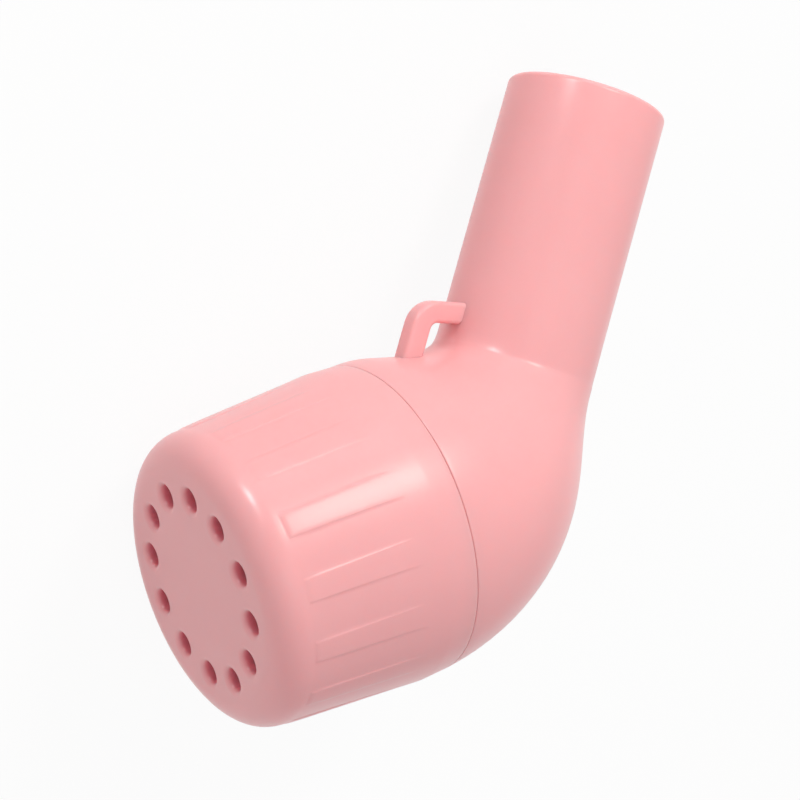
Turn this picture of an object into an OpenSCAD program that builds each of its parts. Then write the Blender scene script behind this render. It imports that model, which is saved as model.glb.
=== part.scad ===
// Breathing trainer: a pipe-shaped moulding with a round head, in which a steel
// ball dances on a cone under a perforated screw cap while the user breathes out.
// It is drawn lying on its side on a table, the mouthpiece pointing along +Y.

/* [Head and cap] */
// Outside diameter of the head at the seam between the body and the cap
head_d = 42; // [40:0.5:46]
// Height of the cap from the seam to its flat face
cap_h = 27.8; // [26:0.2:32]
// How far the cap swells beyond the seam at the front edge of its plain band
belt_swell = 0.15; // [0:0.05:0.5]
// Height of the plain band beside the seam
band_h = 3.8; // [3:0.1:6]
// How much the grips' backs draw in from the belt to the face, per side
side_draw = 1.8; // [0.5:0.1:2.5]
// Rounding between the cap's side and its face
corner_r = 4.3; // [3:0.1:5]
// Thickness of the cap's face
face_t = 2.2; // [1.6:0.1:3]
// Wall of the cap round the ball's room, under the grips
cap_wall = 2.2; // [1.6:0.1:2.6]
// Number of grips along the cap's side
grip_count = 15; // [9:1:24]
// Width of one grip, in degrees round the cap
grip_deg = 9.5; // [6:0.5:14]
// How far a grip stands out at its end by the face; by the band it runs out to nothing
grip_rise = 0.15; // [0.1:0.05:0.6]

/* [Breath holes] */
// Number of holes in the face
hole_count = 12; // [6:1:14]
// Diameter of a hole
hole_d = 3; // [2:0.1:4]
// Diameter of the circle that the holes lie on
hole_ring_d = 24.3; // [20:0.1:26]
// Rounding of a hole's outer edge
hole_lip = 0.7; // [0.2:0.1:1]

/* [Thread] */
// Wall of the cap at its rim, outside the thread
rim_wall = 2.4; // [2:0.1:3]
// Height of the neck above the seam
neck_h = 11; // [10:0.5:13]
// Wall of the neck under the thread
neck_wall = 1.8; // [1.4:0.1:2.4]
// Rise of the thread in one turn
pitch = 4; // [3.6:0.1:4.1]
// Turns of thread on the neck, and in the cap
thread_turns = 1.5; // [1:0.25:1.5]
// Height of a thread ridge
thread_h = 0.8; // [0.6:0.1:1]
// Width of a thread ridge where it stands on its wall
ridge_w = 1.4; // [1.2:0.1:1.6]
// Width of a thread ridge at its crest
crest_w = 0.7; // [0.5:0.1:0.9]
// Gap between a crest and the wall that faces it
crest_gap = 0.35; // [0.25:0.05:0.5]
// Gap between the two ridges' flanks, along the axis
flank_gap = 0.25; // [0.2:0.05:0.4]

/* [Elbow and mouthpiece] */
// Angle through which the pipe bends between the head and the mouthpiece
bend_deg = 57.6; // [50:0.2:65]
// Radius of the bend, along the middle of the pipe
bend_r = 29.5; // [28:0.5:34]
// Outside diameter of the mouthpiece
mouth_d = 22; // [20:0.2:24]
// Wall of the mouthpiece
mouth_wall = 1.9; // [1.6:0.1:2.4]
// Straight length of the mouthpiece, past the bend
mouth_l = 38.3; // [30:0.1:50]
// Rounding of the mouthpiece's rim
lip_r = 0.8; // [0.4:0.1:0.9]
// Chamfer of the rim's inner edge
lip_chamfer = 0.5; // [0.2:0.1:0.6]
// Length of the mouthpiece's root, which draws in until the straight length starts
root_l = 7.2; // [6:0.2:9]
// How much wider the root is where it leaves the shell, per side
root_swell = 0.05; // [0.02:0.01:0.1]
// Step where the shell meets the mouthpiece, per side
crease = 0.1; // [0.05:0.05:0.4]

/* [Lanyard loop] */
// Thickness of the loop's bar, both ways
loop_t = 2.9; // [2.4:0.1:3.2]
// Rounding of the bar's edges
loop_edge = 0.6; // [0.4:0.1:1]
// Gap between the loop's leg and the mouthpiece
loop_gap = 4.1; // [3.5:0.1:6]
// Height of the bar's corner past the end of the bend
loop_h = 0.8; // [0:0.1:6]
// Radius of the loop's corner, along the middle of the bar
loop_bend_r = 2.6; // [2:0.1:3]
// Angle through which the bar turns at the corner
loop_deg = 76; // [70:1:90]

/* [Ball and cone] */
// Diameter of the steel ball
ball_d = 19.05; // [17:0.05:19.05]
// Angle between the cone's wall and its axis
cone_deg = 30; // [28:1:34]
// Diameter of the throat that the breath comes up through
throat_d = 9.2; // [7:0.2:10]
// Length of the throat
throat_l = 1.5; // [1:0.1:2.5]
// Wall of the cone
cone_wall = 1.6; // [1.2:0.1:2]
// Thickness of the cone's flange, which lies on the neck
flange_t = 1.4; // [1:0.1:1.8]
// Width of the flange's flat top, inside its outer edge
flange_w = 2.5; // [2.5:0.1:3]
// Height of the collar that centres the cone in the neck
collar_h = 3; // [2:0.5:4]
// Clearance between the collar and the neck, per side
collar_fit = 0.05; // [0.02:0.01:0.1]
// Gap between the ball and the cone on its seat
seat_gap = 0.15; // [0.1:0.05:0.3]
// Gap between the ball and the cap's face at the end of its travel
stop_gap = 0.3; // [0.2:0.05:0.5]

/* [Seal ring] */
// Thickness of the soft ring between the cap's rim and the body's shoulder
ring_t = 1; // [0.8:0.1:1.4]
// Width of the ring
ring_w = 1.3; // [1:0.1:1.4]
// Gap on every side of the ring
ring_gap = 0.1; // [0.08:0.01:0.12]
// Gap left open at the seam
seam_gap = 0.3; // [0.2:0.05:0.5]

/* [Hidden] */
pink = [0.98, 0.74, 0.75];
milky = [0.93, 0.93, 0.9];
steel = [0.75, 0.76, 0.78];
rubber = [0.85, 0.86, 0.85];

// Sizes of circles drawn with true curves
round_fn = 96;
// One overrun serves all cuts
cut = 1;

// Head, neck and thread, all from the head's diameter inwards
head_r = head_d / 2;
belt_r = head_r + belt_swell;
skirt_r = head_r - rim_wall;
neck_r = skirt_r - crest_gap - thread_h;
neck_bore_r = neck_r - neck_wall;
face_z = cap_h;
// The grips' backs lie on a straight cone from the belt towards the face, and the
// side between them on one that draws in further
function back_r(z) = belt_r - side_draw * (z - band_h) / (cap_h - band_h);
corner_z = cap_h - corner_r;
side_top_r = back_r(corner_z) - grip_rise;
corner_mid_r = side_top_r - corner_r;
grip_top = corner_z - grip_rise;
// A grip's back starts this far under the side and comes out of it a little higher
grip_sink = 0.03;
// The grips and holes as they stand when the cap is screwed tight
grip_turn = -62.6;
hole_turn = 17;

// Thread ridges: the cap's bear on the undersides of the neck's
ridge_start = seam_gap + ring_t + 2 * ring_gap + ridge_w;
flank_share = (ridge_w - crest_w) / (2 * thread_h);
overlap_r = thread_h - crest_gap;
ridge_apart = crest_w + overlap_r * flank_share + flank_gap;
neck_ridge_z = ridge_start + ridge_apart;
thread_step = 10;

// Elbow
tilt = 180 - bend_deg;
mouth_r = mouth_d / 2;
bore_r = mouth_r - mouth_wall;
reach = bend_r * tan(bend_deg / 2);
mouth_t = reach + mouth_l;
shell_steps = 12;
shell_fn = 60;
// Control points of the shell between head and mouthpiece, outside and inside: the
// share of the bend, then radius and lean into the bend as shares of the radii's
// difference
outer_shares = [[0, 1, 0], [0.58, 0.93, 0.12], [0.74, 0.2, 0.28], [1, 0, 0]];
inner_shares = [[0, 1, 0], [0.55, 1, 0], [0.78, 0.04, 0], [1, 0, 0]];
seat_depth = 2 * cut;

// Loop
leg_x = mouth_r + loop_gap + loop_t / 2;
loop_corner_t = reach + loop_h;
leg_foot_share = 0.56;
loop_steps = 6;
loop_n = 16;

// Cone and ball
flange_r = neck_r - crest_gap / 2;
cone_top_z = neck_h + flange_t;
cone_top_r = flange_r - flange_w;
apex_z = cone_top_z - cone_top_r / tan(cone_deg);
throat_r = throat_d / 2;
throat_z = apex_z + throat_r / tan(cone_deg);
cone_skin = cone_wall / cos(cone_deg);
collar_z = neck_h - collar_h;
ball_r = ball_d / 2;
seat_z = apex_z + (ball_r + seat_gap) / sin(cone_deg);
room_z = cap_h - face_t;
ball_stop_z = room_z - ball_r - stop_gap;
ball_run = (ball_stop_z - seat_z) / cos(cone_deg);
room_top_r = back_r(corner_z) - cap_wall;
room_low_z = cone_top_z + stop_gap;
room_corner_r = corner_r - cap_wall;

// Ring in the cap's rebate
ring_in_r = neck_r + thread_h + crest_gap - ring_gap / 2;
ring_out_r = ring_in_r + ring_w;

// How the trainer lies: on the cap's side, from the belt to the corner, and on the
// mouthpiece's rim. n is the way down, seen from the head; dip is its lean
// towards the face and side_turn its turn round the head's axis.
dip = atan(side_draw / (cap_h - band_h));
lie_h = band_h * sin(dip) + belt_r * cos(dip);
rim_c = [(mouth_t - lip_r) * sin(tilt), 0, (mouth_t - lip_r) * cos(tilt) - reach];
pipe_way = [sin(tilt), 0, cos(tilt)];
function down(c) = [cos(dip) * c, cos(dip) * sqrt(1 - c * c), sin(dip)];
function girth(way, axis) = sqrt(1 - pow(way * axis, 2));
function rim_reach(way) = way * rim_c + (mouth_r - lip_r) * girth(way, pipe_way) + lip_r;
// Each pass turns the head until the rim reaches as low as the cap does
function settle(c, passes) = passes == 0 ? c
    : settle(c + (lie_h - rim_reach(down(c))) / (rim_c[0] * cos(dip)), passes - 1);
side_turn = acos(settle(0, 12));

// The same lie as turns: first round the head's axis, then over, then round +Z
function spin_z(p, a) = [p[0] * cos(a) - p[1] * sin(a), p[0] * sin(a) + p[1] * cos(a), p[2]];
function spin_x(p, a) = [p[0], p[1] * cos(a) - p[2] * sin(a), p[1] * sin(a) + p[2] * cos(a)];
roll = -side_turn - 90;
over = 90 + dip;
pipe_lies = spin_x(spin_z(pipe_way, roll), over);
yaw = 90 - atan2(pipe_lies[1], pipe_lies[0]);
function laid(p) = spin_z(spin_x(spin_z(p, roll), over), yaw);
// A way in the row's frame, as seen from the head
function from_row(p) = spin_z(spin_x(spin_z(p, -yaw), -over), -roll);

// Reach of the outer forms along a way, for the middle of the box
function corner_reach(way) = way[2] * corner_z + corner_mid_r * girth(way, [0, 0, 1]) + corner_r;
function bend_way(a) = [sin(a), 0, -cos(a)];
function bend_mid(a) = [bend_r * (1 - cos(a)), 0, -bend_r * sin(a)];
function into_bend(a) = [cos(a), 0, sin(a)];
function shell_reach(way) = max([for (i = [0 : shell_steps])
    let (s = shell_ring(outer_shares, i, head_r, mouth_r + crease))
    way * (bend_mid(s[0]) + s[2] * into_bend(s[0])) + s[1] * girth(way, bend_way(s[0]))]);
function belt_reach(way) = way[2] * band_h + belt_r * girth(way, [0, 0, 1]);
function grip_reach(way) = max([for (i = [0 : grip_count - 1], side = [-1 : 1])
    let (a = grip_turn + i * 360 / grip_count + side * grip_deg / 2)
    way * [back_r(grip_top) * cos(a), back_r(grip_top) * sin(a), grip_top]]);
function far(way) = max(corner_reach(way), belt_reach(way), grip_reach(way), rim_reach(way), shell_reach(way));
x_way = from_row([1, 0, 0]);
y_way = from_row([0, 1, 0]);
mid_x = (far(x_way) - far(-x_way)) / 2;
mid_y = (far(y_way) - far(-y_way)) / 2;

module as_it_lies() {
    translate([-mid_x, -mid_y, lie_h])
        rotate([0, 0, yaw])
            rotate([over, 0, 0])
                rotate([0, 0, roll])
                    children();
}

// Frame of the mouthpiece: +Z towards its rim, -X towards the cap
module along_pipe() {
    translate([0, 0, -reach]) rotate([0, tilt, 0]) children();
}

// A point on a cubic curve through shares
function shell_at(p, t) = pow(1 - t, 3) * p[0] + 3 * pow(1 - t, 2) * t * p[1]
    + 3 * (1 - t) * t * t * p[2] + pow(t, 3) * p[3];

// One ring of the shell: its place along the bend, its radius and its lean
function shell_ring(shares, i, r_head, r_pipe) = let (s = shell_at(shares, i / shell_steps))
    [s[0] * bend_deg, r_pipe + s[1] * (r_head - r_pipe), s[2] * (r_head - r_pipe)];

function ring_faces(rows, n) = [for (i = [0 : rows - 2]) for (j = [0 : n - 1])
    let (k = (j + 1) % n, a = i * n + j, b = i * n + k, c = a + n, d = b + n)
    each [[a, b, d], [a, d, c]]];

// A solid skinned over rows of n points each
module skinned(points, n) {
    rows = len(points) / n;
    first = [for (j = [n - 1 : -1 : 0]) j];
    last = [for (j = [0 : n - 1]) (rows - 1) * n + j];
    polyhedron(points, concat([first], ring_faces(rows, n), [last]), convexity = 6);
}

// A pipe that narrows while it bends from the head's axis to the mouthpiece's
module bent_taper(r_head, r_pipe, shares) {
    skinned([for (i = [0 : shell_steps])
        let (s = shell_ring(shares, i, r_head, r_pipe))
        for (j = [0 : shell_fn - 1])
            let (f = j * 360 / shell_fn)
            bend_mid(s[0]) + (s[2] + s[1] * cos(f)) * into_bend(s[0]) + [0, s[1] * sin(f), 0]], shell_fn);
}

// A right-hand ridge that winds up a wall; into is +1 outwards and -1 inwards
module ridge(wall_r, z, into) {
    steps = thread_turns * 360 / thread_step;
    root = wall_r - into * crest_gap;
    points = [for (i = [0 : steps])
        let (a = i * thread_step, up = z + pitch * a / 360, top = wall_r + into * thread_h)
        each [for (p = [[root, -ridge_w / 2], [top, -crest_w / 2], [top, crest_w / 2], [root, ridge_w / 2]])
            [p[0] * cos(a), p[0] * sin(a), up + p[1]]]];
    last = steps * 4;
    sides = [for (i = [0 : steps - 1]) for (j = [0 : 3])
        let (k = (j + 1) % 4, a = 4 * i + j, b = 4 * i + k, c = a + 4, d = b + 4)
        each (into > 0 ? [[a, b, d], [a, d, c]] : [[a, d, b], [a, c, d]])];
    ends = into > 0 ? [[3, 2, 1, 0], [last, last + 1, last + 2, last + 3]]
        : [[0, 1, 2, 3], [last + 3, last + 2, last + 1, last]];
    polyhedron(points, concat(sides, ends), convexity = 6);
}

// One row of the loop's bar, a square with rounded edges, at [x, z] and turned by a
function bar_row(x, z, a) = [for (j = [0 : loop_n - 1])
    let (k = floor(4 * j / loop_n), f = 90 * k + 90 * (j - k * loop_n / 4) / (loop_n / 4 - 1),
        inset = loop_t / 2 - loop_edge,
        p = inset * (k == 0 || k == 3 ? 1 : -1) + loop_edge * cos(f),
        q = inset * (k < 2 ? 1 : -1) + loop_edge * sin(f))
    [x + p * cos(a), -q, z - p * sin(a)]];

// The loop stands on the shell, turns over and runs into the mouthpiece's wall
module lanyard_loop() {
    turn_x = loop_bend_r - leg_x;
    end_x = turn_x - loop_bend_r * cos(loop_deg) + (loop_gap + mouth_wall) * sin(loop_deg);
    end_z = loop_corner_t + loop_bend_r * sin(loop_deg) + (loop_gap + mouth_wall) * cos(loop_deg);
    skinned([
        each bar_row(-leg_x, leg_foot_share * reach, 0),
        for (i = [0 : loop_steps]) let (a = loop_deg * i / loop_steps)
            each bar_row(turn_x - loop_bend_r * cos(a), loop_corner_t + loop_bend_r * sin(a), a),
        each bar_row(end_x, end_z, loop_deg)], loop_n);
}

// The mouthpiece in section, with its tapered root and its rounded rim
module pipe_section() {
    low = reach - 2 * cut;
    rim_t = mouth_t - lip_r;
    polygon([[0, low], [mouth_r + root_swell, low], [mouth_r, reach + root_l],
        [mouth_r, rim_t], [mouth_r - lip_r, mouth_t], [0, mouth_t]]);
    intersection() {
        translate([mouth_r - lip_r, rim_t]) circle(lip_r, $fn = 32);
        translate([mouth_r - lip_r - cut, rim_t - cut]) square(lip_r + 2 * cut);
    }
}

// Its bore in section, which opens out at the rim
module bore_section() {
    polygon([[0, reach - cut], [bore_r, reach - cut], [bore_r, mouth_t - lip_chamfer],
        [bore_r + lip_chamfer + cut, mouth_t + cut], [0, mouth_t + cut]]);
}

module body() {
    color(pink) as_it_lies() difference() {
        union() {
            bent_taper(head_r, mouth_r + crease, outer_shares);
            translate([0, 0, -seat_depth]) cylinder(r = neck_r, h = neck_h + seat_depth, $fn = round_fn);
            ridge(neck_r, neck_ridge_z, 1);
            along_pipe() rotate_extrude($fn = round_fn) pipe_section();
            along_pipe() lanyard_loop();
        }
        bent_taper(neck_bore_r - collar_fit, bore_r + collar_fit, inner_shares);
        translate([0, 0, -seat_depth])
            cylinder(r = neck_bore_r, h = neck_h + seat_depth + cut, $fn = round_fn);
        along_pipe() rotate_extrude($fn = round_fn) bore_section();
    }
}

// Outside of the cap, half in section
module cap_outline() {
    polygon([[0, seam_gap], [head_r, seam_gap], [belt_r, band_h], [side_top_r, corner_z],
        [corner_mid_r, corner_z], [corner_mid_r, cap_h], [0, cap_h]]);
    intersection() {
        translate([corner_mid_r, corner_z]) circle(corner_r, $fn = round_fn);
        translate([corner_mid_r - cut, corner_z - cut]) square(corner_r + 2 * cut);
    }
}

// Room inside the cap: rebate for the ring, skirt over the neck, room for the ball
module cap_room() {
    polygon([[0, seam_gap - cut], [ring_out_r + ring_gap, seam_gap - cut],
        [ring_out_r + ring_gap, 2 * ring_gap + ring_t], [skirt_r, 2 * ring_gap + ring_t],
        [skirt_r, room_low_z], [room_top_r, room_z - room_corner_r],
        [room_top_r - room_corner_r, room_z], [0, room_z]]);
}

// One grip, which comes out of the side by the band and ends in a ledge by the face
module grip() {
    rotate([0, 0, -grip_deg / 2]) rotate_extrude(angle = grip_deg, $fn = round_fn)
        polygon([[belt_r - cap_wall / 2, band_h], [belt_r - grip_sink, band_h],
            [back_r(grip_top), grip_top], [back_r(grip_top) - cap_wall / 2, grip_top]]);
}

module breath_hole() {
    translate([0, 0, room_z - cut]) cylinder(d = hole_d, h = face_t + 2 * cut, $fn = 32);
    // The rounded edge leaves a ring of a quarter circle in the face
    translate([0, 0, cap_h]) difference() {
        translate([0, 0, -hole_lip]) cylinder(r = hole_d / 2 + hole_lip, h = hole_lip + cut, $fn = 32);
        translate([0, 0, -hole_lip]) rotate_extrude($fn = 32) translate([hole_d / 2 + hole_lip, 0]) circle(hole_lip, $fn = 32);
    }
}

module perforated_cap() {
    color(pink) as_it_lies() union() {
        difference() {
            union() {
                rotate_extrude($fn = round_fn) cap_outline();
                for (i = [0 : grip_count - 1]) rotate([0, 0, grip_turn + i * 360 / grip_count]) grip();
            }
            rotate_extrude($fn = round_fn) cap_room();
            for (i = [0 : hole_count - 1]) rotate([0, 0, hole_turn + i * 360 / hole_count])
                translate([hole_ring_d / 2, 0, 0]) breath_hole();
        }
        ridge(skirt_r, ridge_start, -1);
    }
}

module ball_cone() {
    color(milky) as_it_lies() rotate_extrude($fn = round_fn) polygon([
        [throat_r, throat_z - throat_l], [throat_r + cone_skin, throat_z - throat_l],
        [throat_r + cone_skin, throat_z],
        [(collar_z - apex_z) * tan(cone_deg) + cone_skin, collar_z],
        [neck_bore_r - collar_fit, collar_z], [neck_bore_r - collar_fit, neck_h],
        [flange_r, neck_h], [flange_r, cone_top_z], [cone_top_r, cone_top_z], [throat_r, throat_z]]);
}

// The ball lies where it rolls to: down the cone's wall, against the cap's face
module steel_ball() {
    color(steel) as_it_lies() rotate([0, 0, side_turn])
        translate([ball_run * sin(cone_deg), 0, seat_z + ball_run * cos(cone_deg)])
            sphere(r = ball_r, $fn = round_fn);
}

module seal_ring() {
    color(rubber) as_it_lies() translate([0, 0, ring_gap]) difference() {
        cylinder(r = ring_out_r, h = ring_t, $fn = round_fn);
        translate([0, 0, -cut]) cylinder(r = ring_in_r, h = ring_t + 2 * cut, $fn = round_fn);
    }
}

body();
perforated_cap();
ball_cone();
steel_ball();
seal_ring();
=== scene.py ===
import math

import bmesh
import bpy
from mathutils import Matrix, Vector


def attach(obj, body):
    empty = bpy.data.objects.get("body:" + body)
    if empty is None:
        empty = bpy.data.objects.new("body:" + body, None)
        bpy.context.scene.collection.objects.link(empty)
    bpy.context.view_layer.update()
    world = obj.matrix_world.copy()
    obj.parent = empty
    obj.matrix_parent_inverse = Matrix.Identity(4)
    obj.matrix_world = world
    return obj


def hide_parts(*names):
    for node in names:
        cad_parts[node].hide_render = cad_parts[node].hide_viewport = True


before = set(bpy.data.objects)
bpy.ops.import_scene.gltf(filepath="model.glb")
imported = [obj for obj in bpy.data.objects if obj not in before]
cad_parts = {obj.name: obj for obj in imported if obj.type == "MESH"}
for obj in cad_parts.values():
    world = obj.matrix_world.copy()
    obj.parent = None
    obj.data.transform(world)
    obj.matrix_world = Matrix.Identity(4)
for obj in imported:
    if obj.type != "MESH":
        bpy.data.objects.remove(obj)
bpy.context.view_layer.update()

# The body is one moulding in pink plastic: the neck with its thread, the bent shell,
# the mouthpiece and the lanyard loop. Every piece is modelled in the head's own frame,
# in millimetres, with z out of the cap's face and x towards the mouthpiece.
HEAD_R, NECK_R, NECK_BORE_R, NECK_H = 21.0, 17.45, 15.65, 11.0
NECK_LAND, NECK_EDGE, NECK_FOOT, BORE_EDGE, SEAM_EDGE = 1.25, 0.25, 0.25, 0.2, 0.2
BEND_R, BEND = 29.5, math.radians(57.6)
REACH = BEND_R * math.tan(BEND / 2)
MOUTH_R, BORE_R, MOUTH_L = 11.0, 9.1, 38.3
LIP, CHAMFER, CHAMFER_EDGE = 0.8, 0.5, 0.05
NECK_BORE_FOOT, BORE_START = 4.0, 0.5
CREASE, ROOT_SWELL, ROOT_L = 0.1, 0.05, 7.2
BODY_COLUMNS, SHELL_STEPS, BORE_STEPS = 160, 36, 24
MM = 0.001

# How the head lies on the table: turned on its own axis, tipped over, turned round
on_table = (
    Matrix.Scale(MM, 4)
    @ Matrix.Translation((3.48516, -17.2372, 21.375))
    @ Matrix.Rotation(math.radians(-55.4015), 4, "Z")
    @ Matrix.Rotation(math.radians(94.2892), 4, "X")
    @ Matrix.Rotation(math.radians(-161.98), 4, "Z")
)


def each_once(found):
    """The corners, edges or faces found, in order and without repeats."""
    return list(dict.fromkeys(found))


def first_ring(bm, columns, turn=0.0):
    """A unit circle of edges whose first corner stands at turn degrees."""
    made = bmesh.ops.create_circle(bm, cap_ends=False, radius=1.0, segments=columns)
    spot = Matrix.Rotation(math.radians(turn - 90), 4, "Z")
    bmesh.ops.transform(bm, matrix=spot, verts=made["verts"])
    return each_once(e for v in made["verts"] for e in v.link_edges)


def place(x, z, r, lean=0.0):
    """Where a unit circle goes: centre (x, 0, z), radius r, tipped over by lean."""
    return Matrix.Translation((x, 0, z)) @ Matrix.Rotation(lean, 4, "Y") @ Matrix.Scale(r, 4)


def draw_wall(bm, edges, places, closed=True):
    """Draws a ring of edges out through all the places, and back to its start."""
    start = edges
    corners = each_once(v for e in edges for v in e.verts)
    bmesh.ops.transform(bm, matrix=places[0], verts=corners)
    for was, now in zip(places, places[1:]):
        made = bmesh.ops.extrude_edge_only(bm, edges=edges)["geom"]
        edges = [g for g in made if isinstance(g, bmesh.types.BMEdge)
                 and all(v in made for v in g.verts)]
        corners = [g for g in made if isinstance(g, bmesh.types.BMVert)]
        bmesh.ops.transform(bm, matrix=now @ was.inverted(), verts=corners)
    if closed:
        bmesh.ops.bridge_loops(bm, edges=start + edges)
    return start, edges


def quarter(mid_r, mid_z, radius, step):
    """Points (r, z) along a rounded edge, from facing outwards to facing up, without
    the first."""
    turns = [math.radians(a) for a in range(step, 91, step)]
    return [(mid_r + radius * math.cos(a), mid_z + radius * math.sin(a)) for a in turns]


def cubic(p0, p1, p2, p3, t):
    """A point on a Bezier curve."""
    s = 1 - t
    return [s**3 * a + 3 * s * s * t * b + 3 * s * t * t * c + t**3 * d
            for a, b, c, d in zip(p0, p1, p2, p3)]


# From the head to the mouthpiece, each ring's share of the bend, its share of the
# change in radius and its shift into the bend follow a curve with two free points
SHELL_CURVE = (0.58, 0.93, 0.12), (0.74, 0.2, 0.28)
BORE_CURVE = (0.55, 1, 0), (0.78, 0.04, 0)


def on_bend(curve, r_head, r_pipe, t):
    """A ring's place on the bend, t along the curve."""
    along, wide, lean = cubic((0, 1, 0), *curve, (1, 0, 0), t)
    a = along * BEND
    r = r_pipe + wide * (r_head - r_pipe)
    shift = lean * (r_head - r_pipe)
    return place(BEND_R * (1 - math.cos(a)) + shift * math.cos(a),
                 shift * math.sin(a) - BEND_R * math.sin(a), r, -a)


def on_pipe(t, r):
    """A ring's place on the mouthpiece, t along its axis."""
    return place(t * math.sin(BEND), -REACH - t * math.cos(BEND), r, -BEND)


# The wall is drawn from the neck's rim out over the shoulder, along the shell and the
# mouthpiece to its lip, and back through the bore
bm = bmesh.new()
neck = [(NECK_H, NECK_R - NECK_LAND), (NECK_H, NECK_R - NECK_EDGE), (NECK_H - NECK_EDGE, NECK_R)]
neck += [(NECK_FOOT * above, NECK_R + NECK_FOOT * out)
         for above, out in ((1, 0), (0.2, 0.8), (0, 2.2))]
neck += [(-SEAM_EDGE * down, HEAD_R - SEAM_EDGE * inward)
         for down, inward in ((0, 1), (0.1, 0.35), (0.5, 0.05), (1, 0))]
outside = [place(0, z, r) for z, r in neck]
outside += [on_bend(SHELL_CURVE, HEAD_R, MOUTH_R + CREASE, i / SHELL_STEPS)
            for i in range(1, SHELL_STEPS)]
root = [(-CREASE / 2, CREASE), (2 * CREASE, 0.65 * CREASE)]
root += [(t, ROOT_SWELL * (1 - t / ROOT_L)) for t in (0.5, 0.9, 1.4, 2, 2.7, ROOT_L)]
outside += [on_pipe(REACH + t, MOUTH_R + r) for t, r in root]
outside += [on_pipe(REACH + (MOUTH_L - LIP) * i / 6, MOUTH_R) for i in range(2, 7)]
outside += [on_pipe(REACH + MOUTH_L - LIP + t, r) for r, t in quarter(MOUTH_R - LIP, 0, LIP, 15)]
inside = [on_pipe(REACH + MOUTH_L - t, BORE_R + CHAMFER - t)
          for t in (CHAMFER_EDGE, CHAMFER / 2, CHAMFER - CHAMFER_EDGE)]
inside += [on_pipe(REACH + MOUTH_L - CHAMFER - 2 * CHAMFER_EDGE, BORE_R)]
inside += [on_pipe(REACH + MOUTH_L * i / 4, BORE_R) for i in (3, 2, 1)]
inside += [on_pipe(REACH + BORE_START, BORE_R)]
inside += [on_bend(BORE_CURVE, NECK_BORE_R, BORE_R, 1 - i / BORE_STEPS) for i in range(BORE_STEPS + 1)]
inside += [place(0, NECK_BORE_FOOT, NECK_BORE_R), place(0, NECK_H - BORE_EDGE, NECK_BORE_R),
           place(0, NECK_H, NECK_BORE_R + BORE_EDGE)]
draw_wall(bm, first_ring(bm, BODY_COLUMNS), outside + inside)

# A fillet fills the corner between the shell and the mouthpiece, beside the loop. It
# fades out on the way round.
pipe = Matrix.Translation((0, 0, -REACH)) @ Matrix.Rotation(math.pi - BEND, 4, "Y")
FILLET_R, FILLET_ON_PIPE, FILLET_ON_SHELL = 4.0, 1.9, 1.2
deepest = FILLET_R - math.sqrt(FILLET_R**2 - FILLET_ON_PIPE**2)
for v in bm.verts:
    p = pipe.inverted() @ v.co
    r = p.xy.length
    past = p.z - REACH
    share = 1 - (past / FILLET_ON_PIPE if past > 0 else -past / FILLET_ON_SHELL)
    if share > 0 and r > MOUTH_R - CREASE and p.x < 0:
        grow = 1 + deepest * share**2 * (-p.x / r)**4 / r
        v.co = pipe @ Vector((p.x * grow, p.y * grow, p.z))


PITCH, TURNS, STEPS_IN_TURN = 4.0, 1.5, 36
RIDGE_H, RIDGE_SINK, CREST_HALF, RIDGE_HALF = 0.8, 0.3, 0.35, 0.66
NECK_THREAD_Z = 4.0469


def thread(bm, wall, z, out):
    """A right-hand thread, out from a wall or in from it, sunk a little into the wall."""
    start = Matrix.Translation((wall, 0, z)) @ Matrix.Rotation(math.pi / 2, 4, "X")
    made = bmesh.ops.create_grid(bm, x_segments=1, y_segments=1, size=0.5, matrix=start)
    for v in made["verts"]:
        crest = (v.co.x - wall) * out > 0
        v.co.x = wall + out * (RIDGE_H if crest else -RIDGE_SINK)
        v.co.z = z + math.copysign(CREST_HALF if crest else RIDGE_HALF, v.co.z - z)
    geom = made["verts"] + each_once(e for v in made["verts"] for e in v.link_edges)
    geom += each_once(f for v in made["verts"] for f in v.link_faces)
    bmesh.ops.spin(bm, geom=geom, cent=(0, 0, 0), axis=(0, 0, 1),
                   dvec=(0, 0, PITCH / STEPS_IN_TURN), angle=math.radians(360 * TURNS),
                   steps=int(STEPS_IN_TURN * TURNS), use_duplicate=False)


thread(bm, NECK_R, NECK_THREAD_Z, 1)

# The loop's bar is square with rounded edges. It stands on the shell, turns over
# and runs into the mouthpiece's wall.
BAR_T, BAR_EDGE, LEG_X, LEG_FOOT, LEG_TOP = 2.9, 0.6, 16.55, 0.56 * REACH, REACH + 0.8
LOOP_R, LOOP_TURN, LOOP_STEPS, ARM_L = 2.6, math.radians(76), 10, 5.4


def bar_at(x, t, turn):
    """Where the bar's section stands: x beside the mouthpiece's axis and t along it."""
    return pipe @ Matrix.Translation((x, 0, t)) @ Matrix.Rotation(turn, 4, "Y")


bar = bmesh.ops.create_grid(bm, x_segments=1, y_segments=1, size=BAR_T / 2)
bmesh.ops.bevel(bm, geom=bar["verts"], offset=BAR_EDGE, segments=4, profile=0.5, affect="VERTICES")
section = [f for f in bm.faces if all(v.co.length < BAR_T for v in f.verts)]
section_edges = [e for f in section for e in f.edges]
bmesh.ops.delete(bm, geom=section, context="FACES_ONLY")
bar_places = [bar_at(-LEG_X, t, 0) for t in (LEG_FOOT, LEG_TOP)]
for i in range(1, LOOP_STEPS + 1):
    a = LOOP_TURN * i / LOOP_STEPS
    bar_places.append(bar_at(LOOP_R * (1 - math.cos(a)) - LEG_X, LEG_TOP + LOOP_R * math.sin(a), a))
bar_places.append(bar_places[-1] @ Matrix.Translation((0, 0, ARM_L)))
foot, tip = draw_wall(bm, section_edges, bar_places, closed=False)
bmesh.ops.holes_fill(bm, edges=foot + tip, sides=0)


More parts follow.
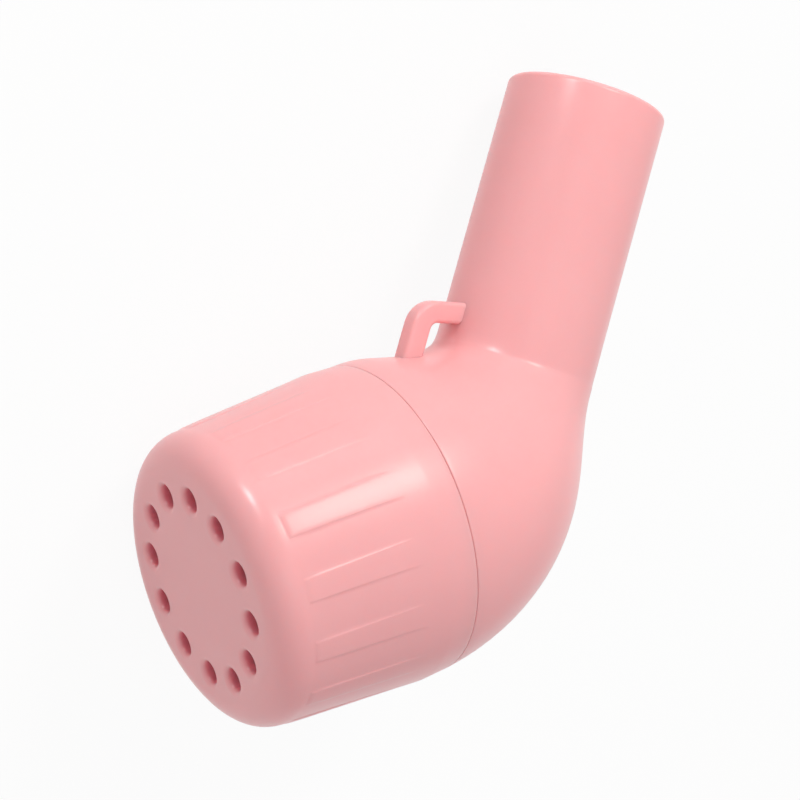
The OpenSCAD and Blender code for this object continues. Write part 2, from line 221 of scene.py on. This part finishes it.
def moulded_plastic(name, low, high, rough, grain=0.0):
    """A plain shader whose colour and gloss drift a little over the piece, as a
    moulding's do. Grain is a fine unevenness of the surface."""
    mat = bpy.data.materials.new(name)
    mat.use_nodes = True
    tree = mat.node_tree
    shader = tree.nodes["Principled BSDF"]
    coords = tree.nodes.new("ShaderNodeTexCoord")
    cloud = tree.nodes.new("ShaderNodeTexNoise")
    cloud.inputs["Scale"].default_value = 60.0  # clouds of about 17 mm
    cloud.inputs["Detail"].default_value = 3.0
    ramp = tree.nodes.new("ShaderNodeValToRGB")
    ramp.color_ramp.elements[0].position = 0.3
    ramp.color_ramp.elements[0].color = (*low, 1)
    ramp.color_ramp.elements[1].position = 0.7
    ramp.color_ramp.elements[1].color = (*high, 1)
    gloss = tree.nodes.new("ShaderNodeMapRange")
    gloss.inputs["To Min"].default_value = rough[0]
    gloss.inputs["To Max"].default_value = rough[1]
    tree.links.new(coords.outputs["Object"], cloud.inputs["Vector"])
    tree.links.new(cloud.outputs["Fac"], ramp.inputs["Fac"])
    tree.links.new(ramp.outputs["Color"], shader.inputs["Base Color"])
    tree.links.new(cloud.outputs["Fac"], gloss.inputs["Value"])
    tree.links.new(gloss.outputs["Result"], shader.inputs["Roughness"])
    if grain:
        speckle = tree.nodes.new("ShaderNodeTexNoise")
        speckle.inputs["Scale"].default_value = 1400.0  # grains of about 0.7 mm
        speckle.inputs["Detail"].default_value = 2.0
        bump = tree.nodes.new("ShaderNodeBump")
        bump.inputs["Strength"].default_value = grain
        bump.inputs["Distance"].default_value = 0.05 * MM
        tree.links.new(coords.outputs["Object"], speckle.inputs["Vector"])
        tree.links.new(speckle.outputs["Fac"], bump.inputs["Height"])
        tree.links.new(bump.outputs["Normal"], shader.inputs["Normal"])
    return mat, shader


def translucent_pink(name, low, high):
    """The trainer's pink plastic, which lets a little light in."""
    mat, shader = moulded_plastic(name, low, high, (0.27, 0.31), grain=0.1)
    shader.inputs["Specular IOR Level"].default_value = 0.25
    shader.inputs["Subsurface Weight"].default_value = 0.3
    shader.inputs["Subsurface Scale"].default_value = 3 * MM
    shader.inputs["Subsurface Radius"].default_value = (1.0, 0.28, 0.22)
    return mat


PINK = (0.93, 0.427, 0.44), (0.945, 0.442, 0.455)
pink = translucent_pink("pink_plastic", *PINK)


SHARP = math.radians(35)


def hand_in_piece(bm, name, body, node, slot, *materials):
    """Lays a mesh on the table, smooths it and lets it stand in for its solid."""
    bmesh.ops.transform(bm, matrix=on_table, verts=bm.verts)
    bmesh.ops.recalc_face_normals(bm, faces=bm.faces)
    mesh = bpy.data.meshes.new(name)
    bm.to_mesh(mesh)
    bm.free()
    for p in mesh.polygons:
        p.use_smooth = True
    mesh.set_sharp_from_angle(angle=SHARP)
    obj = bpy.data.objects.new(name, mesh)
    bpy.context.scene.collection.objects.link(obj)
    for material in materials:
        mesh.materials.append(material)
    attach(obj, body)
    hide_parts(node)


hand_in_piece(bm, "trainer_body", "body", "body", "pink_body", pink)


# The cap is a turned shell in the same plastic, screwed on by hand. Fifteen grips
# come out of its side by the plain band and end in a small ledge by its face, which
# twelve breath holes go through.
BELT_R, BELT_EDGE, BELT_START, BELT_FOOT = 21.15, 0.2, 0.7, 0.01
BAND_H, CAP_H, FACE_T = 3.8, 27.8, 2.2
SIDE_DRAW, GRIP_RISE, GRIP_SINK, ROUND, FACE_EDGE = 1.8, 0.15, 0.03, 4.3, 0.15
SKIRT_R, SKIRT_H, ROOM_R, ROOM_EDGE = 18.6, 12.7, 17.47, 2.2
REBATE_R, REBATE_H, REBATE_EDGE, RIM_Z, RIM_EDGE = 19.95, 1.2, 0.1, 0.08, 0.12
TOUCH = 0.01
COLUMNS, GRIPS, GRIP_COLUMNS, GRIP_ROWS, GRIP_TURN = 300, 15, 8, 6, -62.6


def back_r(z):
    """Radius of the cone on which the grips' backs lie."""
    return BELT_R - SIDE_DRAW * (z - BAND_H) / (CAP_H - BAND_H)


corner_z = CAP_H - ROUND
side_top_r = back_r(corner_z) - GRIP_RISE
corner_mid = side_top_r - ROUND
grip_top = corner_z - GRIP_RISE


def side_r(z):
    """Radius of the side between the grips."""
    return BELT_R + (side_top_r - BELT_R) * (z - BAND_H) / (corner_z - BAND_H)


# A grip's back starts a little under the side by the band and comes out at grip_low
sink_at_top = back_r(grip_top) - side_r(grip_top) + GRIP_SINK
grip_low = BAND_H + (grip_top - BAND_H) * GRIP_SINK / sink_at_top


def grip_height(z):
    """How far a grip's back stands out of the side."""
    return sink_at_top * (z - grip_low) / (grip_top - BAND_H)


bm = bmesh.new()
room_z = CAP_H - FACE_T
profile = [(ROOM_R - 2.1, room_z), (ROOM_R - 0.36, room_z - 1.7), (ROOM_R, room_z - ROOM_EDGE),
           (SKIRT_R, SKIRT_H), (SKIRT_R, REBATE_H), (REBATE_R, REBATE_H),
           (REBATE_R, RIM_Z + 2.2 * REBATE_EDGE), (REBATE_R + REBATE_EDGE, RIM_Z)]
profile += [(HEAD_R - RIM_EDGE, RIM_Z), (HEAD_R - RIM_EDGE / 4, RIM_Z + RIM_EDGE / 4),
            (HEAD_R + BELT_FOOT, RIM_Z + RIM_EDGE), (HEAD_R + 3 * BELT_FOOT, BELT_START),
            (BELT_R - 2 * BELT_FOOT, BAND_H - 2 * BELT_EDGE),
            (side_r(BAND_H + BELT_EDGE), BAND_H + BELT_EDGE)]
grip_rows = [grip_low + (grip_top - grip_low) * i / GRIP_ROWS for i in range(GRIP_ROWS + 1)]
profile += [(side_r(z), z) for z in grip_rows + [corner_z]]
profile += quarter(corner_mid, corner_z, ROUND, 6)
profile += [(corner_mid - FACE_EDGE, CAP_H)]
half_turn = GRIP_COLUMNS / 2 * 360 / COLUMNS
ring = first_ring(bm, COLUMNS, turn=GRIP_TURN - half_turn)
draw_wall(bm, ring, [place(0, z, r) for r, z in profile], closed=False)


def turn_from_grip(p):
    """Turn from the middle of the nearest grip, in degrees."""
    turn = math.degrees(math.atan2(p.y, p.x)) - GRIP_TURN
    return (turn + 180 / GRIPS) % (360 / GRIPS) - 180 / GRIPS


# The grips are drawn out of the side in steps, each a share of their height and drawn
# in by more, so that their edges are eased
EASED_STEPS = (0.3, 0.5), (0.8, 0.9), (1.0, 1.4)
grips = []
for f in bm.faces:
    mid = f.calc_center_median()
    on_side = mid.xy.length > (SKIRT_R + side_top_r) / 2
    if on_side and grip_low < mid.z < grip_top and abs(turn_from_grip(mid)) < half_turn:
        grips.append(f)
top_now = grip_top
for rise, inset in EASED_STEPS:
    made = bmesh.ops.extrude_face_region(bm, geom=grips)["geom"]
    bmesh.ops.delete(bm, geom=grips, context="FACES")
    grips = [g for g in made if isinstance(g, bmesh.types.BMFace)]
    for v in (g for g in made if isinstance(g, bmesh.types.BMVert)):
        height = grip_height(min(v.co.z, grip_top))
        r = side_r(v.co.z) + rise * height
        away = turn_from_grip(v.co)
        turn = math.atan2(v.co.y, v.co.x) - away / half_turn * inset * height / r
        v.co.x = r * math.cos(turn)
        v.co.y = r * math.sin(turn)
        if v.co.z > top_now - TOUCH:
            v.co.z -= 2 * inset * height
    top_now -= 2 * inset * grip_height(grip_top)
bmesh.ops.remove_doubles(bm, verts=bm.verts, dist=TOUCH / 20)

# Breath holes: a rounded edge, a straight wall and a small inner edge, with the two
# flat faces filled in round them
HOLES, HOLE_TURN, HOLE_RING_R, HOLE_COLUMNS = 12, 17.0, 12.15, 40
HOLE_R, HOLE_LIP, HOLE_INNER_EDGE, HOLE_LAND = 1.5, 0.7, 0.15, 0.1
edge = [(HOLE_R + HOLE_LIP + HOLE_LAND, CAP_H), (HOLE_R + HOLE_LIP, CAP_H)]
edge += [(HOLE_R + HOLE_LIP * (1 - math.sin(a)), CAP_H - HOLE_LIP * (1 - math.cos(a)))
         for a in (math.radians(15 * i) for i in range(1, 7))]
edge += [(HOLE_R, room_z + HOLE_INNER_EDGE),
         (HOLE_R + HOLE_INNER_EDGE / 3, room_z + HOLE_INNER_EDGE / 5),
         (HOLE_R + HOLE_INNER_EDGE, room_z), (HOLE_R + HOLE_INNER_EDGE + HOLE_LAND, room_z)]
open_edges = [e for e in bm.edges if e.is_boundary]
top_edges = [e for e in open_edges if e.verts[0].co.z > room_z + TOUCH]
low_edges = [e for e in open_edges if e.verts[0].co.z < room_z + TOUCH]
for i in range(HOLES):
    turned = Matrix.Rotation(math.radians(HOLE_TURN + 360 * i / HOLES), 4, "Z")
    spot = turned @ Matrix.Translation((HOLE_RING_R, 0, 0))
    first, last = draw_wall(bm, first_ring(bm, HOLE_COLUMNS),
                            [spot @ place(0, z, r) for r, z in edge], closed=False)
    top_edges += first
    low_edges += last
bmesh.ops.triangle_fill(bm, edges=top_edges, normal=(0, 0, 1), use_beauty=True)
bmesh.ops.triangle_fill(bm, edges=low_edges, normal=(0, 0, -1), use_beauty=True)
# The holes' lips and walls take the second material, which paints shade into the holes
for f in bm.faces:
    mid = f.calc_center_median()
    if room_z < mid.z < CAP_H - TOUCH and mid.xy.length < HOLE_RING_R + HOLE_R + HOLE_LIP:
        f.material_index = 1
CAP_THREAD_Z = 2.9
thread(bm, SKIRT_R, CAP_THREAD_Z, -1)

# Painted shade: the holes' walls are a deeper red the further in they lie. The colour stands in for
# the shade inside the holes, reddened as light through the plastic would be
REDDER_FROM, REDDEST_AT = 0.15 * MM, 0.9 * MM
painted_shade_pink = translucent_pink("pink_plastic_painted_hole_shade", *PINK)
tree = painted_shade_pink.node_tree
coords = tree.nodes.new("ShaderNodeTexCoord")
along = tree.nodes.new("ShaderNodeVectorMath")
along.operation = "DOT_PRODUCT"
face_way = (on_table.to_3x3() @ Vector((0, 0, 1))).normalized()
along.inputs[1].default_value = face_way
depth = tree.nodes.new("ShaderNodeMapRange")
face_at = (on_table @ Vector((0, 0, CAP_H))).dot(face_way)
depth.inputs["From Min"].default_value = face_at - REDDER_FROM
depth.inputs["From Max"].default_value = face_at - REDDEST_AT
painted_shade_mix = tree.nodes.new("ShaderNodeMix")
painted_shade_mix.data_type = "RGBA"
# The colour of the painted shade, reached deepest in the holes
painted_shade_mix.inputs["B"].default_value = (0.97, 0.28, 0.34, 1)
shader = tree.nodes["Principled BSDF"]
plain_colour = shader.inputs["Base Color"].links[0].from_socket
tree.links.new(coords.outputs["Object"], along.inputs[0])
tree.links.new(along.outputs["Value"], depth.inputs["Value"])
tree.links.new(depth.outputs["Result"], painted_shade_mix.inputs["Factor"])
tree.links.new(plain_colour, painted_shade_mix.inputs["A"])
tree.links.new(painted_shade_mix.outputs["Result"], shader.inputs["Base Color"])
hand_in_piece(bm, "perforated_screw_cap", "perforated_cap", "perforated_cap", "pink_cap",
              pink, painted_shade_pink)


# The cone insert is a thin moulding in milky plastic. It stands on the neck's top,
# centred by its collar. Its bowl carries the ball and the breath comes up its throat.
CONE_HALF = math.radians(30)
THROAT_R, THROAT_L, CONE_WALL, CONE_EDGE, SMALL_EDGE = 4.6, 1.5, 1.6, 0.2, 0.15
FLANGE_T, FLANGE_LAND, FLANGE_EDGE, BOWL_EDGE = 1.4, 2.5, 0.175, 0.13
COLLAR_H, COLLAR_GAP, CONE_COLUMNS = 3.0, 0.05, 128
bm = bmesh.new()
slope = math.tan(CONE_HALF)
flange_r, flange_top = NECK_R - FLANGE_EDGE, NECK_H + FLANGE_T
bowl_r = flange_r - FLANGE_LAND
apex = flange_top - bowl_r / slope
throat = apex + THROAT_R / slope
pipe_low = throat - THROAT_L
wall = CONE_WALL / math.cos(CONE_HALF)
pipe_r = THROAT_R + wall
collar_z, collar_r = NECK_H - COLLAR_H, NECK_BORE_R - COLLAR_GAP
cone = [(THROAT_R, throat), (THROAT_R, pipe_low + CONE_EDGE), (THROAT_R + SMALL_EDGE, pipe_low),
        (pipe_r - CONE_EDGE, pipe_low), (pipe_r, pipe_low + CONE_EDGE), (pipe_r, throat),
        ((collar_z - apex) * slope + wall, collar_z), (collar_r, collar_z), (collar_r, NECK_H),
        (flange_r - FLANGE_EDGE, NECK_H), (flange_r, NECK_H + SMALL_EDGE),
        (flange_r, flange_top - CONE_EDGE), (flange_r - FLANGE_EDGE, flange_top),
        (bowl_r + FLANGE_EDGE, flange_top), (bowl_r - BOWL_EDGE * slope, flange_top - BOWL_EDGE)]
draw_wall(bm, first_ring(bm, CONE_COLUMNS), [place(0, z, r) for r, z in cone])
milky, _ = moulded_plastic("milky_plastic", (0.80, 0.79, 0.73), (0.84, 0.83, 0.78), (0.38, 0.46),
                           grain=0.1)
hand_in_piece(bm, "cone_insert", "body", "ball_cone", "cone", milky)


# The ball is polished steel. It lies where it rolls to when the trainer is on its
# side: down the cone's wall and against the cap's face.
BALL_R, SEAT_GAP, STOP_GAP, LOW_SIDE = 9.525, 0.15, 0.3, math.radians(71.98)
BALL_COLUMNS = 96
bm = bmesh.new()
seat = apex + (BALL_R + SEAT_GAP) / math.sin(CONE_HALF)
run = (room_z - BALL_R - STOP_GAP - seat) / math.cos(CONE_HALF)
out = run * math.sin(CONE_HALF)
lies_at = Matrix.Translation((out * math.cos(LOW_SIDE), out * math.sin(LOW_SIDE),
                              seat + run * math.cos(CONE_HALF)))
bmesh.ops.create_uvsphere(bm, u_segments=BALL_COLUMNS, v_segments=BALL_COLUMNS // 2,
                          radius=BALL_R, matrix=lies_at)
steel, steel_shader = moulded_plastic("polished_steel", (0.62, 0.62, 0.64), (0.66, 0.66, 0.68),
                                      (0.06, 0.10))
steel_shader.inputs["Metallic"].default_value = 1.0
hand_in_piece(bm, "steel_ball_polished", "steel_ball", "steel_ball", "ball", steel)


# The seal is a soft, pale silicone ring with rounded edges, pushed into the rebate
# in the cap's rim.
SEAL_W, SEAL_GAP, SEAL_EDGE, SEAL_COLUMNS = 1.3, 0.1, 0.1, 128
bm = bmesh.new()
seal_out, seal_low, seal_top = REBATE_R - SEAL_GAP, SEAL_GAP, REBATE_H - SEAL_GAP
seal_in = seal_out - SEAL_W
seal = [(seal_in + SEAL_EDGE, seal_low), (seal_out - SEAL_EDGE, seal_low),
        (seal_out, seal_low + SEAL_EDGE), (seal_out, seal_top - SEAL_EDGE),
        (seal_out - SEAL_EDGE, seal_top), (seal_in + SEAL_EDGE, seal_top),
        (seal_in, seal_top - SEAL_EDGE), (seal_in, seal_low + SEAL_EDGE)]
draw_wall(bm, first_ring(bm, SEAL_COLUMNS), [place(0, z, r) for r, z in seal])
silicone, _ = moulded_plastic("pale_silicone", (0.66, 0.66, 0.62), (0.70, 0.70, 0.67), (0.5, 0.6),
                              grain=0.15)
hand_in_piece(bm, "rim_seal", "seal_ring", "seal_ring", "seal", silicone)


# The floor is pale. It shows white to the camera and in reflections, with a trace
# of the trainer's shadow left on it.
FLOOR_HALF, FLOOR_DROP, FLOOR_WHITE_SHARE = 3.0, 0.3 * MM, 0.93
floor_mesh = bpy.data.meshes.new("floor")
bm = bmesh.new()
bmesh.ops.create_grid(bm, x_segments=1, y_segments=1, size=FLOOR_HALF)
bm.to_mesh(floor_mesh)
bm.free()
floor = bpy.data.objects.new("floor", floor_mesh)
floor.location.z = -FLOOR_DROP
bpy.context.scene.collection.objects.link(floor)
floor_paint = bpy.data.materials.new("pale_floor")
floor_paint.use_nodes = True
tree = floor_paint.node_tree
tree.nodes.clear()


def seen_by(tree, *rays):
    """A socket that gives one to any of these rays and zero to the others."""
    path = tree.nodes.new("ShaderNodeLightPath")
    seen = path.outputs[rays[0]]
    for ray in rays[1:]:
        either = tree.nodes.new("ShaderNodeMath")
        either.operation = "MAXIMUM"
        tree.links.new(seen, either.inputs[0])
        tree.links.new(path.outputs[ray], either.inputs[1])
        seen = either.outputs[0]
    return seen


surface = tree.nodes.new("ShaderNodeOutputMaterial")
matt = tree.nodes.new("ShaderNodeBsdfDiffuse")
matt.inputs["Color"].default_value = (0.86, 0.86, 0.86, 1)
white = tree.nodes.new("ShaderNodeEmission")
white.inputs["Color"].default_value = (1, 1, 1, 1)
white.inputs["Strength"].default_value = 1.0
share = tree.nodes.new("ShaderNodeMath")
share.operation = "MULTIPLY"
share.inputs[1].default_value = FLOOR_WHITE_SHARE
mixed = tree.nodes.new("ShaderNodeMixShader")
seen = seen_by(tree, "Is Camera Ray", "Is Glossy Ray", "Is Transmission Ray")
tree.links.new(seen, share.inputs[0])
tree.links.new(share.outputs[0], mixed.inputs[0])
tree.links.new(matt.outputs[0], mixed.inputs[1])
tree.links.new(white.outputs[0], mixed.inputs[2])
tree.links.new(mixed.outputs[0], surface.inputs[0])
floor_mesh.materials.append(floor_paint)

# The room is an even pale light, and plain white where the camera sees it.
ROOM_LIGHT = 0.54
world = bpy.data.worlds.new("studio")
bpy.context.scene.world = world
world.use_nodes = True
tree = world.node_tree
tree.nodes.clear()
sky = tree.nodes.new("ShaderNodeOutputWorld")
soft = tree.nodes.new("ShaderNodeBackground")
soft.inputs["Color"].default_value = (1, 1, 1, 1)
soft.inputs["Strength"].default_value = ROOM_LIGHT
white = tree.nodes.new("ShaderNodeBackground")
white.inputs["Color"].default_value = (1, 1, 1, 1)
white.inputs["Strength"].default_value = 1.0
mixed = tree.nodes.new("ShaderNodeMixShader")
tree.links.new(seen_by(tree, "Is Camera Ray", "Is Transmission Ray"), mixed.inputs[0])
tree.links.new(soft.outputs[0], mixed.inputs[1])
tree.links.new(white.outputs[0], mixed.inputs[2])
tree.links.new(mixed.outputs[0], sky.inputs[0])

# The camera stands at the photograph's place: looking down on the trainer from its
# cap's side, rolled so that the mouthpiece stands up in the picture.
SENSOR, FOCAL_PIXELS, PICTURE = 36.0, 2275, 800
CAMERA_AT = (-0.214301, 0.017169, 0.221604)
lens = bpy.data.cameras.new("photo_camera")
lens.sensor_width = SENSOR
lens.lens = FOCAL_PIXELS / PICTURE * SENSOR
lens.clip_start = 10 * MM
camera = bpy.data.objects.new("photo_camera", lens)
right = Vector((0.64304, 0.42209, 0.63902))
up = Vector((-0.24843, 0.90425, -0.34729))
back = Vector((-0.72443, 0.06457, 0.68632))
camera.matrix_world = (Matrix.Translation(CAMERA_AT)
                       @ Matrix((right, up, back)).transposed().to_4x4())
bpy.context.scene.collection.objects.link(camera)
bpy.context.scene.camera = camera

# Five soft boxes: the key and the strip light together draw the bright strip along a
# grip, one stands beyond the mouthpiece and one beside the camera, and a small one
# makes the glint on the cap's corner. Strip light and glint show only in reflections.
LAMP_AWAY, LAMPS_FACE = 0.6, Vector((0, 0, 0.02))
key_way = right * 0.59 + up * 0.575 + back * 0.57
for name, where, size, power, colour in (
        ("key", key_way, 0.16, 1.5, (1.0, 0.97, 0.91)),
        ("strip", key_way, 0.16, 0.7, (1.0, 0.95, 0.78)),
        ("beyond", up + back * 0.3, 0.4, 1.5, (1.0, 1.0, 1.0)),
        ("glint", up * 0.705 - right * 0.241 + back * 0.666, 0.09, 2.2, (1.0, 1.0, 1.0)),
        ("front", back + right * 0.35 - up * 0.15, 0.4, 0.45, (1.0, 1.0, 1.0))):
    box = bpy.data.lights.new(name, "AREA")
    box.shape = "SQUARE"
    box.size = size
    box.energy = power
    box.color = colour
    lamp = bpy.data.objects.new(name, box)
    lamp.visible_diffuse = name not in ("glint", "strip")
    lamp.location = LAMPS_FACE + where.normalized() * LAMP_AWAY
    lamp.rotation_euler = (lamp.location - LAMPS_FACE).to_track_quat("Z", "Y").to_euler()
    bpy.context.scene.collection.objects.link(lamp)

bpy.context.scene.view_settings.view_transform = "Standard"

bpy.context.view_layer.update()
